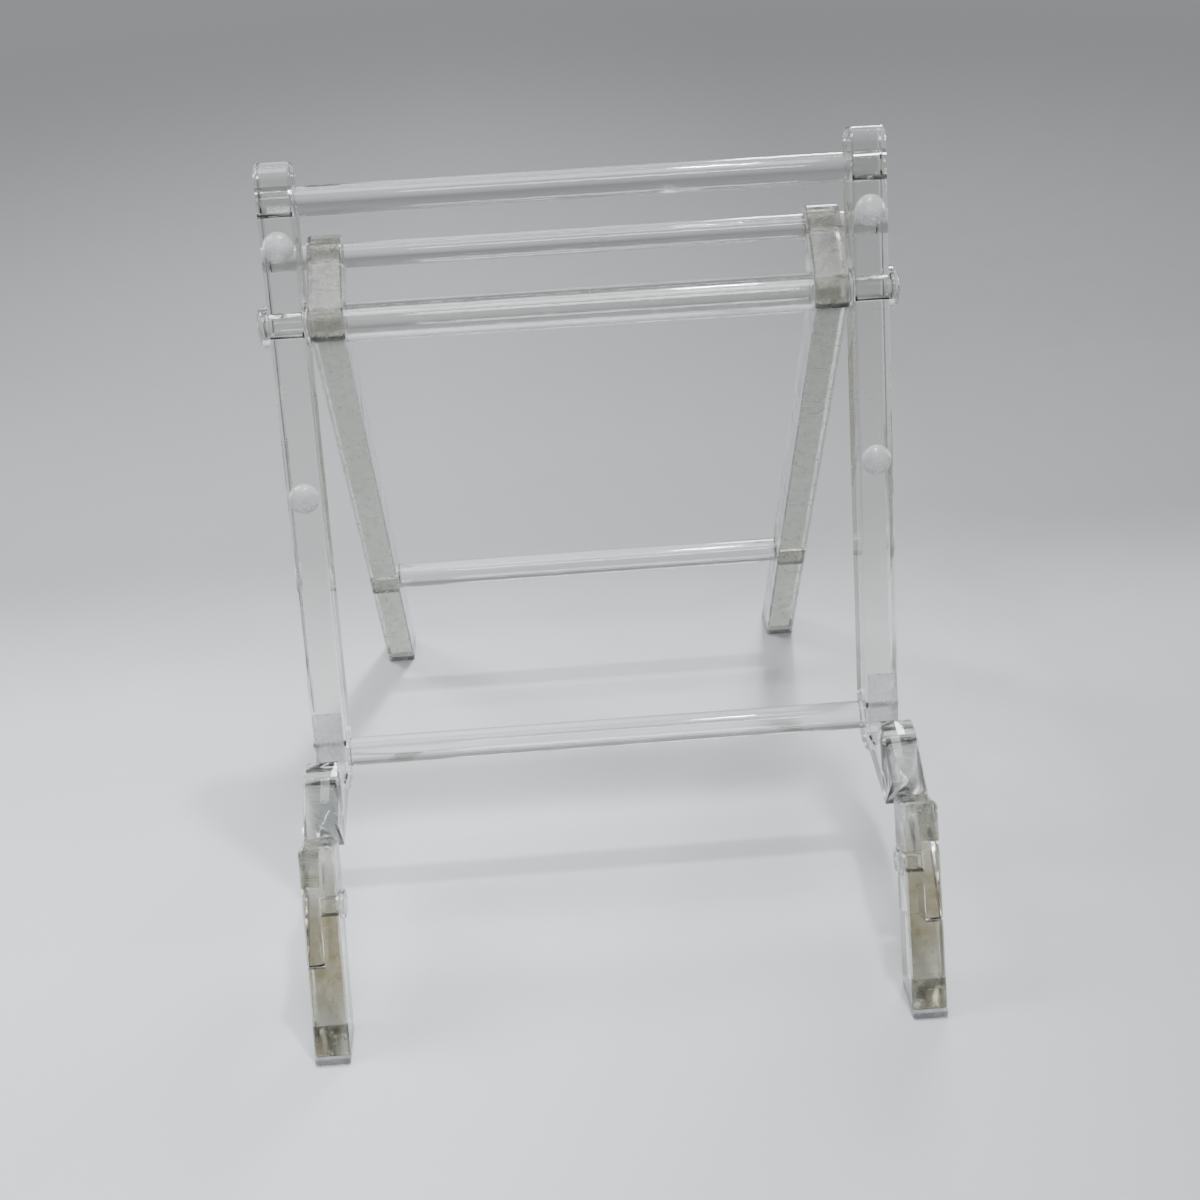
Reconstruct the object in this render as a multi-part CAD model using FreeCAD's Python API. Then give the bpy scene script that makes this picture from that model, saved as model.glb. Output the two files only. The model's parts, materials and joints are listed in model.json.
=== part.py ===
import FreeCAD, Part
import math
import os

# Folding clear-acrylic plate display stand.
# X runs across the stand, +Y goes from its front towards its rear legs, +Z is up.
# The origin lies on the surface it stands on, at the middle of its outer box.
# Side views are drawn as (y, z) points about the front hinge pin, and moved to the origin at the end.

Vector = FreeCAD.Vector

# Driving dimensions, millimetres and degrees
BAR = 8.0                 # thickness of every bar, cut from one 8 mm sheet
ARM_CENTRES = 136.0       # distance between the middle planes of the two arms
ARM_DEPTH = 12.0          # width of an arm in side view
PIN_HEIGHT = 30.0         # front hinge pins above the ground
STRUT_ANGLE = 27.0        # rise of the arm from the front pin to the lip
LIP_RISE = 18.5           # top of the lip above the front pin
LIP_LENGTH = 7.2          # flat top of the lip
LEAN = 72.0               # elevation of the backrest
SLOT_DEPTH = 7.8          # depth of the rim slot behind the lip
SLOT_WIDTH = 13.0         # width of the rim slot
REST_LENGTH = 145.0       # backrest, from the slot's floor to its top
KNEE_DROP = 7.0           # the arm's lowest corner, below the level of the slot's rear corner
UNDER_RISE = 5.0          # angle at which the strut's underside rises towards the back
UNDER_LENGTH = 18.5       # length of that underside, up to the hollow below the slot
LEG_ANGLE = 64.0          # elevation of the front legs
LEG_DEPTH = 10.0          # width of a front leg in side view
LEG_STUB = 14.5           # front leg above its pin
LEG_STEP = 5.2            # front leg's outer half starts this far above the pin
LAP_LENGTH = 17.0         # the arm is at half thickness up to here from its pin
TONGUE_END = 13.0         # the arm's tongue below the pin, down the leg's front face
PIN_RADIUS = 2.3          # front hinge pins
PIN_CAP = 1.2             # thickness of the rings that hold the front legs on their pins
PIN_CAP_RADIUS = 3.3      # outside of those rings
PIVOT_HEIGHT = 108.0      # pivot rod, up the backrest from the slot's floor
PIVOT_RADIUS = 3.0        # pivot rod and stop rod
PIVOT_CAP = 3.0           # thickness of the caps on the pivot rod
PIVOT_CAP_RADIUS = 5.0    # outside of those caps, and of the washers beside the rear legs
PIVOT_CAP_SOCKET = 1.8    # how far the pivot rod enters a cap
SLEEVE_RADIUS = 4.6       # spacer tube between the rear legs
REAR_REACH = 72.0         # rear feet behind the pivot rod
REAR_DEPTH = 10.0         # width of a rear leg in side view
REAR_GAP = 1.0            # between an arm and the rear leg beside it
TIE_DROP = 112.0          # rear cross rod, down the rear legs from the pivot rod
STOP_RISE = 15.0          # stop rod, up the backrest from the pivot rod
ROD_RADIUS = 3.5          # cross rods
TOP_ROD_DROP = 9.0        # top rod, below the top of the backrest
SEAT_ROD_RISE = 3.0       # seat rod, up the backrest from the slot's floor
FOOT = 2.0                # thickness of the foot pads
FOOT_TOE = 0.6            # how far a foot pad runs out beyond its leg
PAD = 1.2                 # thickness of the rim pads
PAD_RISE = 15.0           # rim pad, up the backrest
PAD_START = 0.6           # rim pad's front end, back from the lip
PAD_INSET = 0.5           # rim pad's edges, in from the arm's faces
BUMPER_HEIGHTS = (68.0, 126.0)  # the domes on the backrest, up from the slot's floor
BUMPER_RADIUS = 3.6       # half width of a dome
BUMPER_RISE = 2.2         # height of a dome
EDGE = 0.4                # polished chamfer along the bars
ROD_EDGE = 0.3            # chamfer on the ends of the rods
BOND = 0.05               # glue line between bonded pieces
RUNNING = 0.08            # radial play of a leg on its pin
SLIDE = 0.15              # play between faces that slide or stop on each other
CLEAR = 1.0               # how far a cutting shape runs out beyond the piece it cuts
NEAR = 0.01               # how closely edges are matched when they are picked for rounding

# Corner radii
THROAT_ROUND = 3.0        # between the tongue and the strut
LIP_FRONT_ROUND = 1.0
LIP_BACK_ROUND = 1.2
SLOT_ROUND = 3.0
REST_ROUND = 4.0          # top of the backrest
KNEE_ROUND = 9.0
UNDER_ROUND = 6.0         # under the strut
HOLLOW_ROUND = 8.0        # under the slot
TONGUE_ROUND = 1.0
LEG_TOP_ROUND = 1.4
CROOK_ROUND = 6.0         # between a rear leg and its ear
PAD_ROUND = 2.2           # inside corner of a rim pad
FOOT_ROUND = 0.5
PIN_CAP_ROUND = 0.4
PIVOT_CAP_ROUND = 1.6

# Planes of the right-hand arm
INNER = ARM_CENTRES / 2 - BAR / 2
OUTER = ARM_CENTRES / 2 + BAR / 2
LAP = ARM_CENTRES / 2
REAR_OUTER = INNER - REAR_GAP
REAR_INNER = REAR_OUTER - BAR


def along(point, angle, distance):
    """The point at a distance from another one, at an angle above the +Y direction."""
    turn = math.radians(angle)
    return (point[0] + distance * math.cos(turn), point[1] + distance * math.sin(turn))


def meet(p, p_angle, q, q_angle):
    """Where two straight lines in side view cross."""
    a = math.radians(p_angle)
    b = math.radians(q_angle)
    across = math.cos(a) * math.sin(b) - math.sin(a) * math.cos(b)
    reach = ((q[0] - p[0]) * math.sin(b) - (q[1] - p[1]) * math.cos(b)) / across
    return along(p, p_angle, reach)


# Points of the side view
PIN = (0.0, PIN_HEIGHT)
STRUT_TOP = along(PIN, STRUT_ANGLE + 90, ARM_DEPTH / 2)
LIP_FRONT = meet(STRUT_TOP, STRUT_ANGLE, (0.0, PIN_HEIGHT + LIP_RISE), 0.0)
LIP_BACK = along(LIP_FRONT, 0.0, LIP_LENGTH)
SLOT_FRONT = along(LIP_BACK, LEAN + 180, SLOT_DEPTH)
SLOT_BACK = along(SLOT_FRONT, LEAN - 90, SLOT_WIDTH)
REST_FRONT = along(SLOT_BACK, LEAN, REST_LENGTH)
REST_BACK = along(REST_FRONT, LEAN - 90, ARM_DEPTH)
KNEE = along(along(SLOT_BACK, LEAN - 90, ARM_DEPTH), LEAN + 180, KNEE_DROP)
REST_LINE = along(SLOT_BACK, LEAN - 90, ARM_DEPTH / 2)
PIVOT = along(REST_LINE, LEAN, PIVOT_HEIGHT)
TOP_ROD = along(REST_LINE, LEAN, REST_LENGTH - TOP_ROD_DROP)
SEAT_ROD = along(REST_LINE, LEAN, SEAT_ROD_RISE)
STOP = along(along(PIVOT, LEAN, STOP_RISE), LEAN - 90, ARM_DEPTH / 2 + PIVOT_RADIUS + SLIDE)
REAR_FOOT = (PIVOT[0] + REAR_REACH, 0.0)
REAR_ANGLE = math.degrees(math.atan2(REAR_FOOT[1] - PIVOT[1], REAR_FOOT[0] - PIVOT[0]))
TIE = along(PIVOT, REAR_ANGLE, TIE_DROP)
FRONT_FOOT = meet(PIN, LEG_ANGLE, (0.0, 0.0), 0.0)
LEG_FACE = along(PIN, LEG_ANGLE + 90, LEG_DEPTH / 2)

# The outer box runs from the front of the front feet to the back of the rear feet
FRONT_EDGE = FRONT_FOOT[0] - LEG_DEPTH / 2 / math.sin(math.radians(LEG_ANGLE))
REAR_EDGE = REAR_FOOT[0] + REAR_DEPTH / 2 / math.sin(math.radians(-REAR_ANGLE))
CENTRE = (FRONT_EDGE + REAR_EDGE) / 2


def plate(points, x0, x1):
    """A flat plate with the given side view, from x0 to x1."""
    corners = [Vector(x0, y, z) for y, z in points]
    face = Part.Face(Part.makePolygon(corners + corners[:1]))
    return face.extrude(Vector(x1 - x0, 0, 0))


def rod(point, radius, x0, x1):
    """A round bar across the stand."""
    return Part.makeCylinder(radius, x1 - x0, Vector(x0, point[0], point[1]), Vector(1, 0, 0))


def link(a, b, radius, x0, x1):
    """A straight bar with round ends about two points."""
    angle = math.degrees(math.atan2(b[1] - a[1], b[0] - a[0]))
    sides = [along(a, angle + 90, radius), along(b, angle + 90, radius)]
    sides += [along(b, angle - 90, radius), along(a, angle - 90, radius)]
    bar = plate(sides, x0, x1)
    return bar.fuse([rod(a, radius, x0, x1), rod(b, radius, x0, x1)]).removeSplitter()


def round_corner(shape, point, radius):
    """Rounds the edge that crosses the stand at one point of the side view."""
    edges = []
    for edge in shape.Edges:
        ends = [vertex.Point for vertex in edge.Vertexes]
        at_point = [math.hypot(p.y - point[0], p.z - point[1]) < NEAR for p in ends]
        if len(ends) == 2 and all(at_point):
            edges.append(edge)
    return shape.makeFillet(radius, edges)


def polish(shape, planes, size=EDGE):
    """Chamfers the outline edges of a plate's two flat faces."""
    edges = []
    for edge in shape.Edges:
        box = edge.BoundBox
        if any(abs(box.XMin - x) < NEAR and abs(box.XMax - x) < NEAR for x in planes):
            edges.append(edge)
    return shape.makeChamfer(size, edges)


def arm():
    """The right arm: tongue, strut, lip, rim slot and backrest in one cut profile."""
    strut_low = along(along(PIN, STRUT_ANGLE, LAP_LENGTH), STRUT_ANGLE - 90, ARM_DEPTH / 2)
    tongue_top = meet(STRUT_TOP, STRUT_ANGLE, LEG_FACE, LEG_ANGLE)
    tongue_tip = front_leg_point(-TONGUE_END, -LEG_DEPTH / 2)
    tongue_low = meet(tongue_tip, LEG_ANGLE - 90, strut_low, STRUT_ANGLE)
    hollow = along(strut_low, UNDER_RISE, UNDER_LENGTH)
    outline = [tongue_top, LIP_FRONT, LIP_BACK, SLOT_FRONT, SLOT_BACK]
    outline += [REST_FRONT, REST_BACK, KNEE, hollow, strut_low, tongue_low, tongue_tip]
    body = plate(outline, INNER, OUTER)
    for point, radius in (
        (tongue_top, THROAT_ROUND),
        (LIP_FRONT, LIP_FRONT_ROUND),
        (LIP_BACK, LIP_BACK_ROUND),
        (SLOT_FRONT, SLOT_ROUND),
        (SLOT_BACK, SLOT_ROUND),
        (REST_FRONT, REST_ROUND),
        (REST_BACK, REST_ROUND),
        (KNEE, KNEE_ROUND),
        (hollow, HOLLOW_ROUND),
        (strut_low, UNDER_ROUND),
        (tongue_low, TONGUE_ROUND),
        (tongue_tip, TONGUE_ROUND),
    ):
        body = round_corner(body, point, radius)
    body = polish(body, (INNER, OUTER))
    for point, radius in ((PIVOT, PIVOT_RADIUS), (TOP_ROD, ROD_RADIUS), (SEAT_ROD, ROD_RADIUS)):
        body = body.cut(rod(point, radius + BOND, INNER - CLEAR, OUTER + CLEAR))
    body = body.cut(rod(PIN, PIN_RADIUS + BOND, INNER - CLEAR, OUTER + CLEAR))
    shoulder = along(PIN, STRUT_ANGLE, LAP_LENGTH)
    end = along(PIN, STRUT_ANGLE, -2 * ARM_DEPTH)
    lap = [along(shoulder, STRUT_ANGLE + 90, ARM_DEPTH), along(end, STRUT_ANGLE + 90, ARM_DEPTH)]
    lap += [along(end, STRUT_ANGLE - 90, ARM_DEPTH), along(shoulder, STRUT_ANGLE - 90, ARM_DEPTH)]
    return body.cut(plate(lap, INNER - CLEAR, LAP + SLIDE / 2))


def front_leg_point(up, back):
    """A point in the front leg's own directions: up its length, and towards its back face."""
    return along(along(PIN, LEG_ANGLE, up), LEG_ANGLE - 90, back)


def front_leg():
    """The right front leg: its outer half is notched for the arm's tongue."""
    half = LEG_DEPTH / 2
    sole = (0.0, FOOT + BOND)
    bar = [front_leg_point(LEG_STUB, -half), front_leg_point(LEG_STUB, half)]
    bar.append(meet(front_leg_point(0, half), LEG_ANGLE, sole, 0.0))
    bar.append(meet(front_leg_point(0, -half), LEG_ANGLE, sole, 0.0))
    body = plate(bar, INNER, OUTER)
    top_edges = []
    for edge in body.Edges:
        ends = [vertex.Point for vertex in edge.Vertexes]
        heights = [p.z for p in ends]
        if min(heights) > bar[1][1] - NEAR and edge.BoundBox.XLength < NEAR:
            top_edges.append(edge)
    body = body.makeFillet(LEG_TOP_ROUND, top_edges)
    long_edges = [e for e in body.Edges if e.Length > PIN_HEIGHT and e.BoundBox.XLength < NEAR]
    body = body.makeChamfer(EDGE, long_edges)

    # The notch: a small step at the front, then a shoulder that rests along the arm's upper face
    stop = along(PIN, STRUT_ANGLE + 90, ARM_DEPTH / 2 + SLIDE)
    step_back = meet(front_leg_point(LEG_STEP, 0), LEG_ANGLE - 90, stop, STRUT_ANGLE)
    stop_back = meet(front_leg_point(0, half + CLEAR), LEG_ANGLE, stop, STRUT_ANGLE)
    bottom = -TONGUE_END - 2 * SLIDE
    notch = [front_leg_point(LEG_STEP, -half - CLEAR), step_back, stop_back]
    notch += [front_leg_point(bottom, half + CLEAR), front_leg_point(bottom, -half - CLEAR)]
    body = body.cut(plate(notch, LAP - SLIDE / 2, OUTER + CLEAR))
    return body.cut(rod(PIN, PIN_RADIUS + RUNNING, INNER - CLEAR, OUTER + CLEAR))


def foot_pad(y0, y1, x0, x1):
    """A clear pad under one leg, with its edges eased."""
    pad = Part.makeBox(x1 - x0, y1 - y0, FOOT, Vector(x0, y0, 0))
    return pad.makeFillet(FOOT_ROUND, pad.Edges)


def front_foot():
    half = LEG_DEPTH / 2 / math.sin(math.radians(LEG_ANGLE))
    return foot_pad(FRONT_FOOT[0] - half, FRONT_FOOT[0] + half + FOOT_TOE, INNER, OUTER)


def rear_foot():
    half = REAR_DEPTH / 2 / math.sin(math.radians(-REAR_ANGLE))
    return foot_pad(REAR_FOOT[0] - half - FOOT_TOE, REAR_FOOT[0] + half, REAR_INNER, REAR_OUTER)


def rear_leg():
    """The right rear leg, with an ear above the pivot for the stop rod."""
    radius = REAR_DEPTH / 2
    beyond = along(REAR_FOOT, REAR_ANGLE, 2 * REAR_DEPTH)
    ear_angle = math.degrees(math.atan2(STOP[1] - PIVOT[1], STOP[0] - PIVOT[0]))
    body = link(PIVOT, beyond, radius, REAR_INNER, REAR_OUTER)
    body = body.fuse(link(PIVOT, STOP, radius, REAR_INNER, REAR_OUTER)).removeSplitter()
    crook = meet(
        along(PIVOT, REAR_ANGLE + 90, radius), REAR_ANGLE, along(PIVOT, ear_angle - 90, radius), ear_angle
    )
    body = round_corner(body, crook, CROOK_ROUND)
    sole = FOOT + BOND
    below = [(PIVOT[0], sole), (2 * REAR_FOOT[0], sole)]
    below += [(2 * REAR_FOOT[0], -PIN_HEIGHT), (PIVOT[0], -PIN_HEIGHT)]
    body = body.cut(plate(below, REAR_INNER - CLEAR, REAR_OUTER + CLEAR))
    body = polish(body, (REAR_INNER, REAR_OUTER))
    body = body.cut(rod(PIVOT, PIVOT_RADIUS + RUNNING, REAR_INNER - CLEAR, REAR_OUTER + CLEAR))
    body = body.cut(rod(STOP, PIVOT_RADIUS + BOND, REAR_INNER - CLEAR, REAR_OUTER + CLEAR))
    return body.cut(rod(TIE, ROD_RADIUS + BOND, REAR_INNER - CLEAR, REAR_OUTER + CLEAR))


def ring(point, outer, inner, x0, x1):
    return rod(point, outer, x0, x1).cut(rod(point, inner, x0 - CLEAR, x1 + CLEAR))


def end_rims(shape, x0, x1):
    """The round edges of a turned piece that lie between two planes across the stand."""
    rims = []
    for edge in shape.Edges:
        box = edge.BoundBox
        if box.XLength < NEAR and box.XMin > x0 and box.XMax < x1:
            rims.append(edge)
    return rims


def cross_rod(point, radius, half_length):
    """A clear rod across the stand with eased ends."""
    bar = rod(point, radius, -half_length, half_length)
    return bar.makeChamfer(ROD_EDGE, end_rims(bar, -half_length - CLEAR, half_length + CLEAR))


def front_pin():
    """A hinge pin bonded in the arm's tongue; the leg turns on its inner half."""
    pin = rod(PIN, PIN_RADIUS, INNER - PIN_CAP, OUTER)
    return pin.makeChamfer(ROD_EDGE, end_rims(pin, INNER - PIN_CAP - CLEAR, OUTER + CLEAR))


def front_pin_cap():
    """The thin ring that keeps the leg on its pin."""
    cap = rod(PIN, PIN_CAP_RADIUS, INNER - PIN_CAP, INNER - SLIDE)
    cap = cap.makeFillet(PIN_CAP_ROUND, end_rims(cap, INNER - PIN_CAP - CLEAR, INNER - PIN_CAP + NEAR))
    return cap.cut(rod(PIN, PIN_RADIUS + BOND, INNER - PIN_CAP - CLEAR, INNER))


def pivot_cap():
    """A domed cap on the end of the pivot rod, against the arm's outer face."""
    cap = rod(PIVOT, PIVOT_CAP_RADIUS, OUTER + BOND, OUTER + PIVOT_CAP)
    cap = cap.makeFillet(PIVOT_CAP_ROUND, end_rims(cap, OUTER + CLEAR, OUTER + PIVOT_CAP + CLEAR))
    return cap.cut(rod(PIVOT, PIVOT_RADIUS + BOND, OUTER - CLEAR, OUTER + PIVOT_CAP_SOCKET + BOND))


def pivot_washer():
    """The spacer between an arm and the rear leg beside it."""
    return ring(PIVOT, PIVOT_CAP_RADIUS, PIVOT_RADIUS + BOND, REAR_OUTER + SLIDE, INNER - BOND)


def pivot_sleeve():
    """The spacer tube that keeps the rear legs apart."""
    return ring(PIVOT, SLEEVE_RADIUS, PIVOT_RADIUS + BOND, SLIDE - REAR_INNER, REAR_INNER - SLIDE)


def rim_pad(arm_shape):
    """A soft strip that lines the floor of the rim slot and the foot of the backrest."""
    floor_front = along(SLOT_FRONT, LEAN - 90, PAD_START)
    top = along(SLOT_BACK, LEAN, PAD_RISE)
    corner = along(along(SLOT_BACK, LEAN + 90, PAD), LEAN, PAD)
    outline = [floor_front, SLOT_BACK, top, along(top, LEAN + 90, PAD), corner, along(floor_front, LEAN, PAD)]
    strip = plate(outline, INNER + PAD_INSET, OUTER - PAD_INSET)
    strip = round_corner(strip, corner, PAD_ROUND)
    strip = strip.cut(arm_shape)
    strip.translate(step_from(LEAN + 45, BOND))
    return max(strip.Solids, key=lambda solid: solid.Volume)


def step_from(angle, distance):
    """A small move in side view."""
    y, z = along((0.0, 0.0), angle, distance)
    return Vector(0, y, z)


def bumper(height):
    """A clear dome on the front face of the backrest."""
    radius = (BUMPER_RADIUS ** 2 + BUMPER_RISE ** 2) / (2 * BUMPER_RISE)
    y, z = along(SLOT_BACK, LEAN, height)
    out = step_from(LEAN + 90, 1.0)
    seat = Vector(LAP, y, z) + out * BOND
    ball = Part.makeSphere(radius, seat + out * (BUMPER_RISE - radius))
    return ball.common(Part.makeCylinder(BUMPER_RADIUS + CLEAR, BUMPER_RISE + CLEAR, seat, out))


def mirrored(shape):
    """The left-hand copy of a right-hand piece."""
    return shape.mirror(Vector(0, 0, 0), Vector(1, 0, 0))


def both(shape):
    """A right-hand piece and its left-hand copy, as separate solids."""
    return Part.makeCompound([mirrored(shape), shape])


def write(name, shape):
    """Moves a piece to the stand's origin and writes it as its own node."""
    shape = shape.copy()
    shape.translate(Vector(0, -CENTRE, 0))
    solids = shape.Solids
    assert solids and all(solid.isValid() and solid.isClosed() for solid in solids), name
    shape = solids[0] if len(solids) == 1 else Part.makeCompound(solids)
    shape.exportStep("parts/" + name + ".step")


def write_pair(name, shape):
    write(name + "_right", shape)
    write(name + "_left", mirrored(shape))


os.makedirs("parts", exist_ok=True)

# Cradle: the two arms, what joins them, and the soft parts that the dish touches
right_arm = arm()
write_pair("arm", right_arm)
write("seat_rod", cross_rod(SEAT_ROD, ROD_RADIUS, OUTER))
write("top_rod", cross_rod(TOP_ROD, ROD_RADIUS, OUTER))
write("pivot_rod", cross_rod(PIVOT, PIVOT_RADIUS, OUTER + PIVOT_CAP_SOCKET))
write("pivot_caps", both(pivot_cap()))
write("pivot_washers", both(pivot_washer()))
write("pivot_sleeve", pivot_sleeve())
write_pair("front_pin", front_pin())
write("front_pin_caps", both(front_pin_cap()))
write_pair("rim_pad", rim_pad(right_arm))
write_pair("back_bumpers", Part.makeCompound([bumper(height) for height in BUMPER_HEIGHTS]))

# Front legs, each on its own pin
write_pair("front_leg", front_leg())
write_pair("front_foot", front_foot())

# Rear leg frame, on the pivot rod
write_pair("rear_leg", rear_leg())
write_pair("rear_foot", rear_foot())
write("rear_cross_rod", cross_rod(TIE, ROD_RADIUS, REAR_OUTER))
write("stop_rod", cross_rod(STOP, PIVOT_RADIUS, OUTER))
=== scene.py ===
"""Looks of the clear-acrylic plate stand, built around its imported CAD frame."""
import bmesh
import bpy
import json
import math
from mathutils import Matrix, Vector


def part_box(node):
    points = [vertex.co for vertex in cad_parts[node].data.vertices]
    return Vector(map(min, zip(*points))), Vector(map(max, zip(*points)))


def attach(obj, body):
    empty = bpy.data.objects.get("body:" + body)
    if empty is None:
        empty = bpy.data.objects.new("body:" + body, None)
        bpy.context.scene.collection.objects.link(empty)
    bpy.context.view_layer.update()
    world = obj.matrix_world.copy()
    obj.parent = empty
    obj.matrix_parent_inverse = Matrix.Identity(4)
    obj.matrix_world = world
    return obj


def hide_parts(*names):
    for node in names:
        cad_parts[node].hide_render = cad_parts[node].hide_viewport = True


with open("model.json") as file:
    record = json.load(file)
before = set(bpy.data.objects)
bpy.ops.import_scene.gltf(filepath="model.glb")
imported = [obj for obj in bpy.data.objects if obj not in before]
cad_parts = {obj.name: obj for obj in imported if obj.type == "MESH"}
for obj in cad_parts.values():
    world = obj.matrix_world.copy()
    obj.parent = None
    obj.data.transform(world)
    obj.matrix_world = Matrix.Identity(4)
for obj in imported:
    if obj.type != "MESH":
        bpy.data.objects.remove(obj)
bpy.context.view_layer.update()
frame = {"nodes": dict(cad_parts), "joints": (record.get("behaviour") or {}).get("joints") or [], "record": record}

MM = 0.001
SIDES = ("right", "left")
IOR_ACRYLIC = 1.49
IOR_SILICONE = 1.41
CLEAR = (1.0, 1.0, 1.0, 1.0)
BAR_TINT = (0.90, 0.90, 0.89, 1.0)
LEG_TINT = (0.60, 0.595, 0.54, 1.0)
ROD_TINT = (0.97, 0.97, 0.97, 1.0)
LOW_TINT = (0.26, 0.225, 0.13, 1.0)    # stands in for the dim warm room that the low cut edges mirror
DEPTH_TINT = (0.78, 0.83, 0.79, 1.0)
ROOM_GREY = (0.30, 0.305, 0.315, 1.0)
FRONT_END = -40.0 * MM    # the front legs and the arms' tongues lie in front of this
FLOOR_HALF = 3.0
LIGHT_AIM = Vector((0.0, 0.0, 0.05))
PIN_SEGMENTS = 72

# The eye point is the photograph's, and the lens is longer and re-aimed at the whole stand
EYE = Vector((-0.012, -0.359, 0.2825))
AIM = Vector((0.0, -0.020, 0.076))
LENS_MM = 50.0
ROLL_DEG = -3.0


def make_camera():
    data = bpy.data.cameras.new("camera")
    data.lens = LENS_MM
    data.sensor_width = 36.0
    data.dof.use_dof = False
    camera = bpy.data.objects.new("camera", data)
    bpy.context.scene.collection.objects.link(camera)
    turn = (AIM - EYE).to_track_quat("-Z", "Y").to_matrix().to_4x4()
    roll = Matrix.Rotation(math.radians(ROLL_DEG), 4, "Z")
    camera.matrix_world = Matrix.Translation(EYE) @ turn @ roll
    bpy.context.scene.camera = camera


def joint(name):
    return next(j for j in frame["joints"] if j["name"] == name)


class Nodes:
    """A material's node tree, with short calls to add and link nodes."""

    def __init__(self, name):
        self.material = bpy.data.materials.new(name)
        self.material.use_nodes = True
        self.tree = self.material.node_tree
        self.shader = self.tree.nodes["Principled BSDF"]
        self.output = self.tree.nodes["Material Output"]

    def put(self, socket, value):
        if isinstance(value, bpy.types.NodeSocket):
            self.tree.links.new(value, socket)
        else:
            socket.default_value = value

    def set(self, name, value):
        self.put(self.shader.inputs[name], value)

    def add(self, kind, inputs=None, **settings):
        node = self.tree.nodes.new(kind)
        for key, value in settings.items():
            setattr(node, key, value)
        for key, value in (inputs or {}).items():
            self.put(node.inputs[key], value)
        return node

    def math(self, operation, a, b=0.0):
        node = self.add("ShaderNodeMath", operation=operation)
        self.put(node.inputs[0], a)
        self.put(node.inputs[1], b)
        return node.outputs[0]

    def remap(self, value, low, high, to_low, to_high):
        """Maps low to to_low and high to to_high, and holds the ends outside that range."""
        inputs = {"Value": value, "From Min": low, "From Max": high, "To Min": to_low, "To Max": to_high}
        return self.add("ShaderNodeMapRange", inputs).outputs["Result"]

    def stretch(self, vector, scale, turn=(0.0, 0.0, 0.0)):
        inputs = {"Vector": vector, "Rotation": turn, "Scale": scale}
        return self.add("ShaderNodeMapping", inputs).outputs["Vector"]

    def noise(self, vector, scale=1.0, detail=3.0, roughness=0.5):
        inputs = {"Vector": vector, "Scale": scale, "Detail": detail, "Roughness": roughness}
        return self.add("ShaderNodeTexNoise", inputs).outputs["Fac"]

    def mix(self, factor, a, b):
        node = self.add("ShaderNodeMix", data_type="RGBA")
        sockets = [s for s in node.inputs if s.enabled]
        for socket, value in zip(sockets, (factor, a, b)):
            self.put(socket, value)
        return next(s for s in node.outputs if s.enabled)

    def bump(self, height, distance, under=None):
        node = self.add("ShaderNodeBump", {"Height": height, "Distance": distance, "Strength": 1.0})
        if under is not None:
            self.put(node.inputs["Normal"], under)
        return node.outputs["Normal"]


def scratches(n, place, turn, level):
    """Fine straight scratches in one direction, in patches: 1 on a scratch and 0 off it.
    A higher level leaves fewer of them."""
    long_and_fine = (45.0, 2600.0, 2600.0)
    patch_scale = (90.0, 90.0, 90.0)
    streaks = n.noise(n.stretch(place, long_and_fine, turn), 1.0, 2.0, 0.4)
    patches = n.noise(n.stretch(place, patch_scale, turn), 1.0, 2.0)
    lines = n.remap(streaks, level, level + 0.04, 0.0, 1.0)
    return n.math("MULTIPLY", lines, n.remap(patches, 0.5, 0.62, 0.0, 1.0))


def off_the_pins(n, place):
    """0 on the front pins and the polished holes they run in, and 1 elsewhere."""
    polished_to, tinted_from = 2.6 * MM, 2.8 * MM
    pin = joint("right_front_leg_fold")["pos_m"]
    away = n.add("ShaderNodeVectorMath", {0: place, 1: (0.0, pin[1], pin[2])}, operation="SUBTRACT")
    across = {0: away.outputs["Vector"], 1: (0.0, 1.0, 1.0)}
    flat = n.add("ShaderNodeVectorMath", across, operation="MULTIPLY")
    length = n.add("ShaderNodeVectorMath", {0: flat.outputs["Vector"]}, operation="LENGTH")
    return n.remap(length.outputs["Value"], polished_to, tinted_from, 0.0, 1.0)


def low_at_the_front(n, place):
    """1 low on the front legs and the arms' tongues, fading to 0 at the feet and elsewhere."""
    split = n.add("ShaderNodeSeparateXYZ", {"Vector": place})
    low = n.remap(split.outputs["Z"], 36.0 * MM, 30.0 * MM, 0.0, 1.0)
    low = n.math("MULTIPLY", low, n.remap(split.outputs["Z"], 4.0 * MM, 12.0 * MM, 0.0, 1.0))
    front = n.remap(split.outputs["Y"], FRONT_END - 6.0 * MM, FRONT_END, 1.0, 0.0)
    return n.math("MULTIPLY", low, front)


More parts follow.
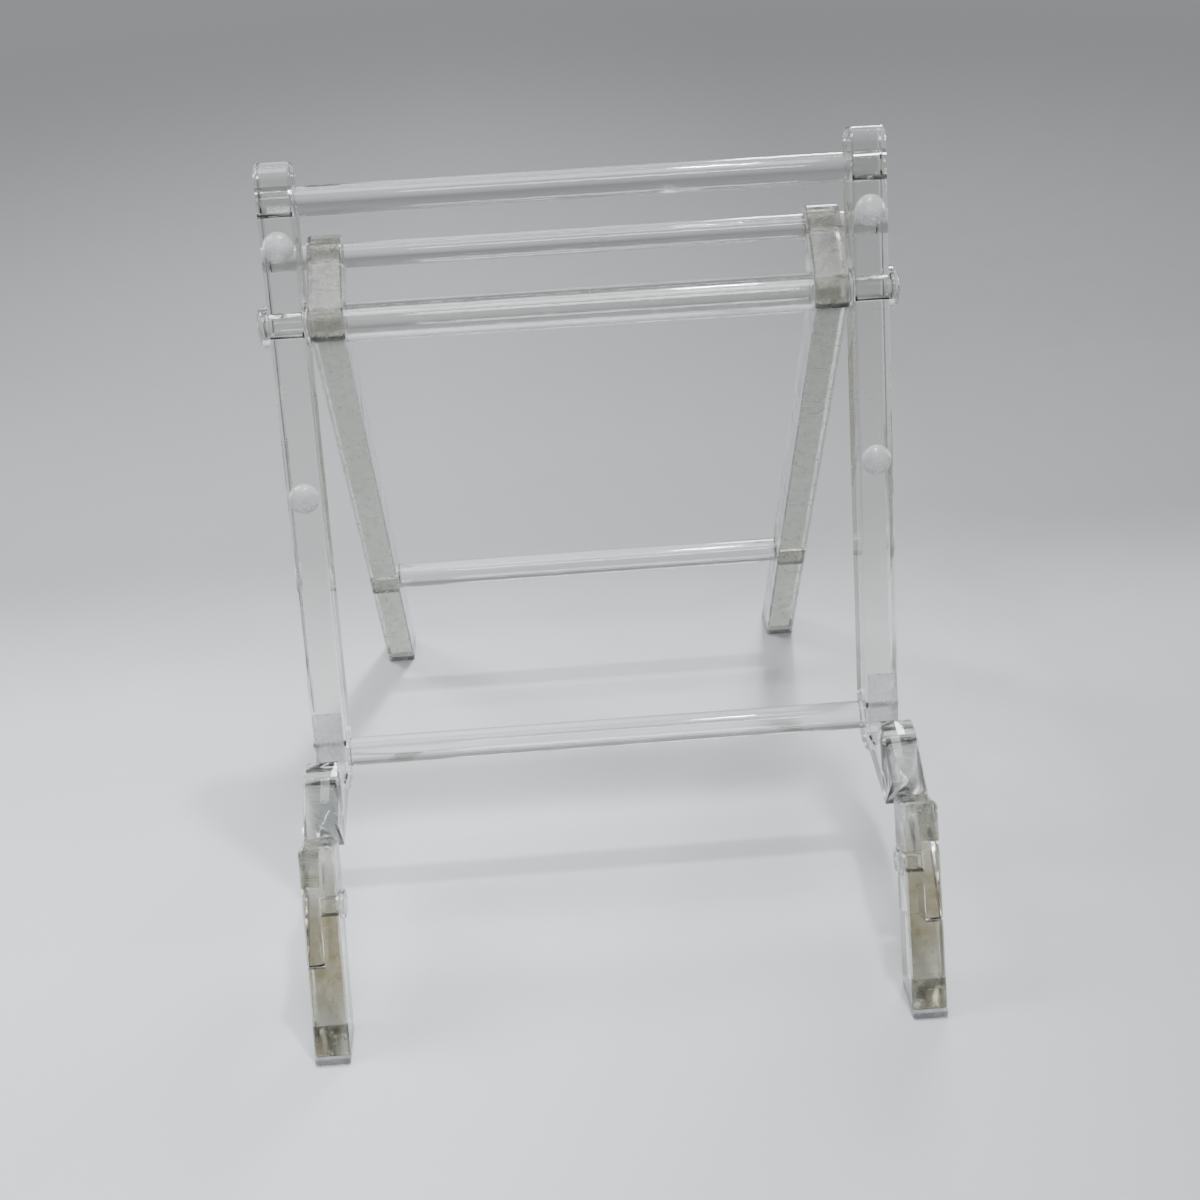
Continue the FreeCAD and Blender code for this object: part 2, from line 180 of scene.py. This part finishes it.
def clear_acrylic(name, machined, waviness, density, cut_tint, low_tint, sawn=False):
    """Clear acrylic with handling scratches. machined sets how strong the tool marks along X
    are: on the cut edges of the bars, or all round the extruded rods. The cut edges carry
    cut_tint, and low_tint low down at the front. density is how fast light dims inside.
    sawn frosts the faces that look along X, which are the ends of the rods."""
    n = Nodes(name)
    coords = n.add("ShaderNodeTexCoord")
    place = coords.outputs["Object"]
    facing = n.add("ShaderNodeSeparateXYZ", {"Vector": coords.outputs["Normal"]}).outputs["X"]
    facing = n.math("ABSOLUTE", facing)    # 1 on faces that look along X
    n.set("IOR", IOR_ACRYLIC)
    n.set("Transmission Weight", 1.0)
    cut = n.remap(facing, 0.3, 0.8, 1.0, 0.0)
    cut = n.math("MULTIPLY", cut, off_the_pins(n, place))
    marks = n.noise(n.stretch(place, (60.0, 1900.0, 1900.0)), 1.0, 3.0, 0.6)
    marks = n.math("MULTIPLY", marks, cut)
    blotches = n.noise(place, 420.0, 3.0, 0.55)
    wave = n.noise(place, 130.0, 2.0, 0.4)
    first = scratches(n, place, (0.3, 0.5, 0.9), 0.66)
    second = scratches(n, place, (1.2, -0.7, 0.2), 0.68)
    scratched = n.math("MAXIMUM", first, second)
    tinted = n.math("MULTIPLY", cut, n.remap(blotches, 0.35, 0.65, 0.84, 1.0))
    tint = n.mix(low_at_the_front(n, place), cut_tint, low_tint)
    n.set("Base Color", n.mix(tinted, CLEAR, tint))
    polish, scratch_roughness, frost_roughness, frost_transmission = 0.004, 0.25, 0.32, 0.55
    haze = n.remap(n.noise(place, 900.0, 4.0, 0.65), 0.35, 0.75, 0.0, 0.05)
    matt = n.remap(blotches, 0.4, 0.7, 0.02, 0.10)
    rough = n.math("ADD", haze, n.math("MULTIPLY", n.math("MULTIPLY", cut, matt), machined))
    rough = n.math("ADD", rough, n.math("MULTIPLY", scratched, scratch_roughness))
    if sawn:
        frosted = n.remap(facing, 0.90, 0.97, 0.0, 1.0)
        n.set("Transmission Weight", n.remap(frosted, 0.0, 1.0, 1.0, frost_transmission))
        rough = n.math("ADD", rough, n.math("MULTIPLY", frosted, frost_roughness))
    n.set("Roughness", n.math("ADD", rough, polish))
    mark_depth, scratch_depth = 0.012 * MM * machined, 0.004 * MM
    normal = n.bump(wave, waviness * MM)
    normal = n.bump(marks, mark_depth, under=normal)
    normal = n.bump(scratched, -scratch_depth, under=normal)
    n.set("Normal", normal)
    absorb = n.add("ShaderNodeVolumeAbsorption", {"Color": DEPTH_TINT, "Density": density})
    n.put(n.output.inputs["Volume"], absorb.outputs["Volume"])
    return n.material


def clear_silicone(name):
    """Clear soft silicone: milky in the depth, satin on the skin."""
    n = Nodes(name)
    place = n.add("ShaderNodeTexCoord").outputs["Object"]
    cloud = n.noise(place, 300.0, 3.0)
    n.set("Base Color", (0.86, 0.88, 0.885, 1.0))
    n.set("Transmission Weight", n.remap(cloud, 0.3, 0.7, 0.66, 0.82))
    n.set("IOR", IOR_SILICONE)
    n.set("Roughness", n.remap(n.noise(place, 900.0, 3.0), 0.3, 0.7, 0.16, 0.28))
    n.set("Normal", n.bump(n.noise(place, 450.0, 2.0), 0.006 * MM))
    return n.material


def dress(obj, material):
    """Puts one material on every slot of an object."""
    if not obj.material_slots:
        obj.data.materials.append(material)
    for slot in obj.material_slots:
        slot.material = material


def object_from(bm, name, material):
    mesh = bpy.data.meshes.new(name)
    bm.to_mesh(mesh)
    bm.free()
    obj = bpy.data.objects.new(name, mesh)
    bpy.context.scene.collection.objects.link(obj)
    dress(obj, material)
    return obj


def smooth_by_angle(obj, degrees):
    for face in obj.data.polygons:
        face.use_smooth = True
    obj.data.set_sharp_from_angle(angle=math.radians(degrees))


def cylinder_along_x(bm, centre, radius, x0, x1):
    middle = Matrix.Translation(((x0 + x1) / 2, centre[1], centre[2]))
    across = Matrix.Rotation(math.radians(90), 4, "Y")
    bmesh.ops.create_cone(
        bm, cap_ends=True, segments=PIN_SEGMENTS, radius1=radius, radius2=radius,
        depth=abs(x1 - x0), matrix=middle @ across,
    )


def united(base, tool):
    """Joins a second closed mesh into the first, and deletes the second."""
    step = base.modifiers.new("unite", "BOOLEAN")
    step.operation = "UNION"
    step.solver = "EXACT"
    step.object = tool
    graph = bpy.context.evaluated_depsgraph_get()
    whole = bpy.data.meshes.new_from_object(base.evaluated_get(graph))
    base.modifiers.clear()
    base.data = whole
    bpy.data.objects.remove(tool)


def bonded_arm(side, material):
    """The arm with its front pin cemented in, as one piece of clear acrylic. A wider plug
    takes up the glue line inside the arm, and a plain one is the pin across the leg."""
    sign = 1.0 if side == "right" else -1.0
    low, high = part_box("front_pin_" + side)
    pin_radius = (high[2] - low[2]) / 2
    outer = max(abs(low[0]), abs(high[0]))
    inner = min(abs(low[0]), abs(high[0]))
    arm_low, arm_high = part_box("arm_" + side)
    lap = (abs(arm_low[0]) + abs(arm_high[0])) / 2
    centre = joint(side + "_front_leg_fold")["pos_m"]
    bm = bmesh.new()
    bm.from_mesh(frame["nodes"]["arm_" + side].data)
    bmesh.ops.remove_doubles(bm, verts=bm.verts, dist=1e-7)
    arm = object_from(bm, "bonded_arm_" + side, material)
    in_the_arm = (pin_radius + 0.15 * MM, lap + 0.2 * MM, outer - 0.05 * MM)
    in_the_leg = (pin_radius, inner, lap + 1.0 * MM)
    for radius, x0, x1 in (in_the_arm, in_the_leg):
        tool = bmesh.new()
        cylinder_along_x(tool, centre, radius, sign * x0, sign * x1)
        united(arm, object_from(tool, "plug", material))
    smooth_by_angle(arm, 25)
    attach(arm, "cradle")
    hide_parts("arm_" + side, "front_pin_" + side)


def plain_object(name, vertices, faces, material):
    """A flat-faced object of the studio, which isn't part of the stand."""
    mesh = bpy.data.meshes.new(name)
    mesh.from_pydata(vertices, [], faces)
    mesh.materials.append(material)
    obj = bpy.data.objects.new(name, mesh)
    bpy.context.scene.collection.objects.link(obj)
    return obj


def make_floor():
    """A pale table top with painted shade, darker towards the right as if lit more from the left, that fades far
    off into a painted glow of the room's grey.
    """
    n = Nodes("floor")
    place = n.add("ShaderNodeTexCoord").outputs["Object"]
    split = n.add("ShaderNodeSeparateXYZ", {"Vector": place})
    cloudy = n.remap(n.noise(place, 9.0, 3.0), 0.3, 0.7, -0.02, 0.02)
    depth = n.math("ADD", n.remap(split.outputs["Y"], -0.05, 0.35, 0.0, 1.0), cloudy)
    shade = n.add("ShaderNodeValToRGB", {"Fac": depth}).outputs["Color"]
    stops = shade.node.color_ramp
    stops.interpolation = "EASE"
    stops.elements[0].color = (0.70, 0.73, 0.76, 1.0)
    stops.elements[1].color = (0.29, 0.30, 0.312, 1.0)
    stops.elements.new(0.25).color = (0.62, 0.645, 0.67, 1.0)
    stops.elements.new(0.50).color = (0.33, 0.343, 0.356, 1.0)
    # painted shade: the colour dims to 0.64 times towards the right, for light that falls more from the left
    side = n.remap(split.outputs["X"], -0.06, 0.14, 1.0, 0.64)
    painted_side_shade = n.add("ShaderNodeVectorMath", {0: shade}, operation="SCALE")
    n.put(painted_side_shade.inputs["Scale"], side)
    n.set("Base Color", painted_side_shade.outputs["Vector"])
    n.set("Roughness", n.remap(n.noise(place, 60.0, 4.0), 0.3, 0.7, 0.42, 0.55))
    n.set("Specular IOR Level", 0.2)
    # painted light: past table_to the floor fades into a glow of the room's grey, which is full at room_from
    table_to, room_from = 0.35, 1.1
    far = n.add("ShaderNodeVectorMath", {0: place}, operation="LENGTH").outputs["Value"]
    far = n.remap(far, table_to, room_from, 0.0, 1.0)
    room = n.add("ShaderNodeEmission", {"Color": ROOM_GREY}).outputs["Emission"]
    blend = {0: far, 1: n.shader.outputs["BSDF"], 2: room}
    n.put(n.output.inputs["Surface"], n.add("ShaderNodeMixShader", blend).outputs["Shader"])
    half = FLOOR_HALF
    corners = [(-half, -half, 0), (half, -half, 0), (half, half, 0), (-half, half, 0)]
    plain_object("floor", corners, [(0, 1, 2, 3)], n.material)


def make_dim_room():
    """A warm card for the dim room in front of the table, which clear acrylic mirrors inside
    itself: level from near to far and then upright to top, faded out at both its edges."""
    n = Nodes("dim_room")
    n.set("Base Color", (0.10, 0.09, 0.07, 1.0))
    n.set("Roughness", 0.9)
    n.set("Specular IOR Level", 0.0)
    n.set("Emission Color", (0.250, 0.235, 0.198, 1.0))
    n.set("Emission Strength", 1.0)
    near, far, half, top, lift = -0.17, -1.0, 1.6, 0.78, 1.0 * MM
    near_fade, top_fade = 0.12, 0.16
    split = n.add("ShaderNodeSeparateXYZ", {"Vector": n.add("ShaderNodeTexCoord").outputs["Object"]})
    from_near = n.remap(split.outputs["Y"], near, near - near_fade, 0.0, 1.0)
    from_top = n.remap(split.outputs["Z"], top, top - top_fade, 0.0, 1.0)
    n.set("Alpha", n.math("MULTIPLY", from_near, from_top))
    corners = [(-half, near, lift), (half, near, lift), (half, far, lift), (-half, far, lift)]
    corners += [(-half, far, top), (half, far, top)]
    card = plain_object("dim_room", corners, [(0, 1, 2, 3), (3, 2, 5, 4)], n.material)
    card.visible_camera = False
    card.visible_shadow = False
    card.visible_diffuse = False


def area_light(name, place, size, watts):
    data = bpy.data.lights.new(name, "AREA")
    data.shape = "RECTANGLE"
    data.size, data.size_y = size
    data.energy = watts
    light = bpy.data.objects.new(name, data)
    light.location = place
    light.rotation_euler = (LIGHT_AIM - Vector(place)).to_track_quat("-Z", "Y").to_euler()
    light.visible_camera = False
    bpy.context.scene.collection.objects.link(light)
    return light


def make_lights():
    """Softboxes, and low strips at both sides that draw the bright lines on the edges. The
    ones that would show as white panels through the acrylic are hidden from rays inside it."""
    back_right = area_light("softbox_right", (0.25, 0.64, 0.55), (0.26, 0.16), 4.5)
    back_right.visible_transmission = False
    area_light("softbox_left", (-0.55, 0.20, 0.70), (0.20, 0.40), 4.5)
    area_light("softbox_top", (0.0, -0.10, 0.95), (0.40, 0.40), 3.5)
    area_light("softbox_key", (0.12, 0.05, 0.95), (0.05, 0.05), 4.5)
    area_light("softbox_front", (0.05, -0.62, 0.80), (0.30, 0.12), 2.0)
    area_light("strip_top", (0.0, 0.28, 0.90), (1.0, 0.03), 1.5)
    for name, x in (("strip_left", -0.75), ("strip_right", 0.75)):
        strip = area_light(name, (x, 0.26, 0.22), (0.14, 0.40), 2.2)
        strip.visible_transmission = False
        strip.visible_diffuse = False


def make_room():
    """Soft grey light all round."""
    world = bpy.data.worlds.new("room")
    world.use_nodes = True
    background = world.node_tree.nodes["Background"]
    background.inputs["Color"].default_value = ROOM_GREY
    background.inputs["Strength"].default_value = 1.0
    bpy.context.scene.world = world


make_camera()
make_floor()
make_dim_room()
make_lights()
make_room()

finishes = {
    "acrylic_bar": clear_acrylic("acrylic_bar", 1.0, 0.035, 16.0, BAR_TINT, LOW_TINT),
    "acrylic_leg": clear_acrylic("acrylic_leg", 3.0, 0.09, 30.0, LEG_TINT, LOW_TINT),
    "acrylic_rod": clear_acrylic("acrylic_rod", 0.4, 0.03, 16.0, ROD_TINT, ROD_TINT, sawn=True),
    "silicone_pad": clear_silicone("silicone_pad"),
}
for entry in frame["record"]["subparts"]:
    dress(frame["nodes"][entry["node"]], finishes[entry["material_slot"]])
for side in SIDES:
    bonded_arm(side, finishes["acrylic_bar"])
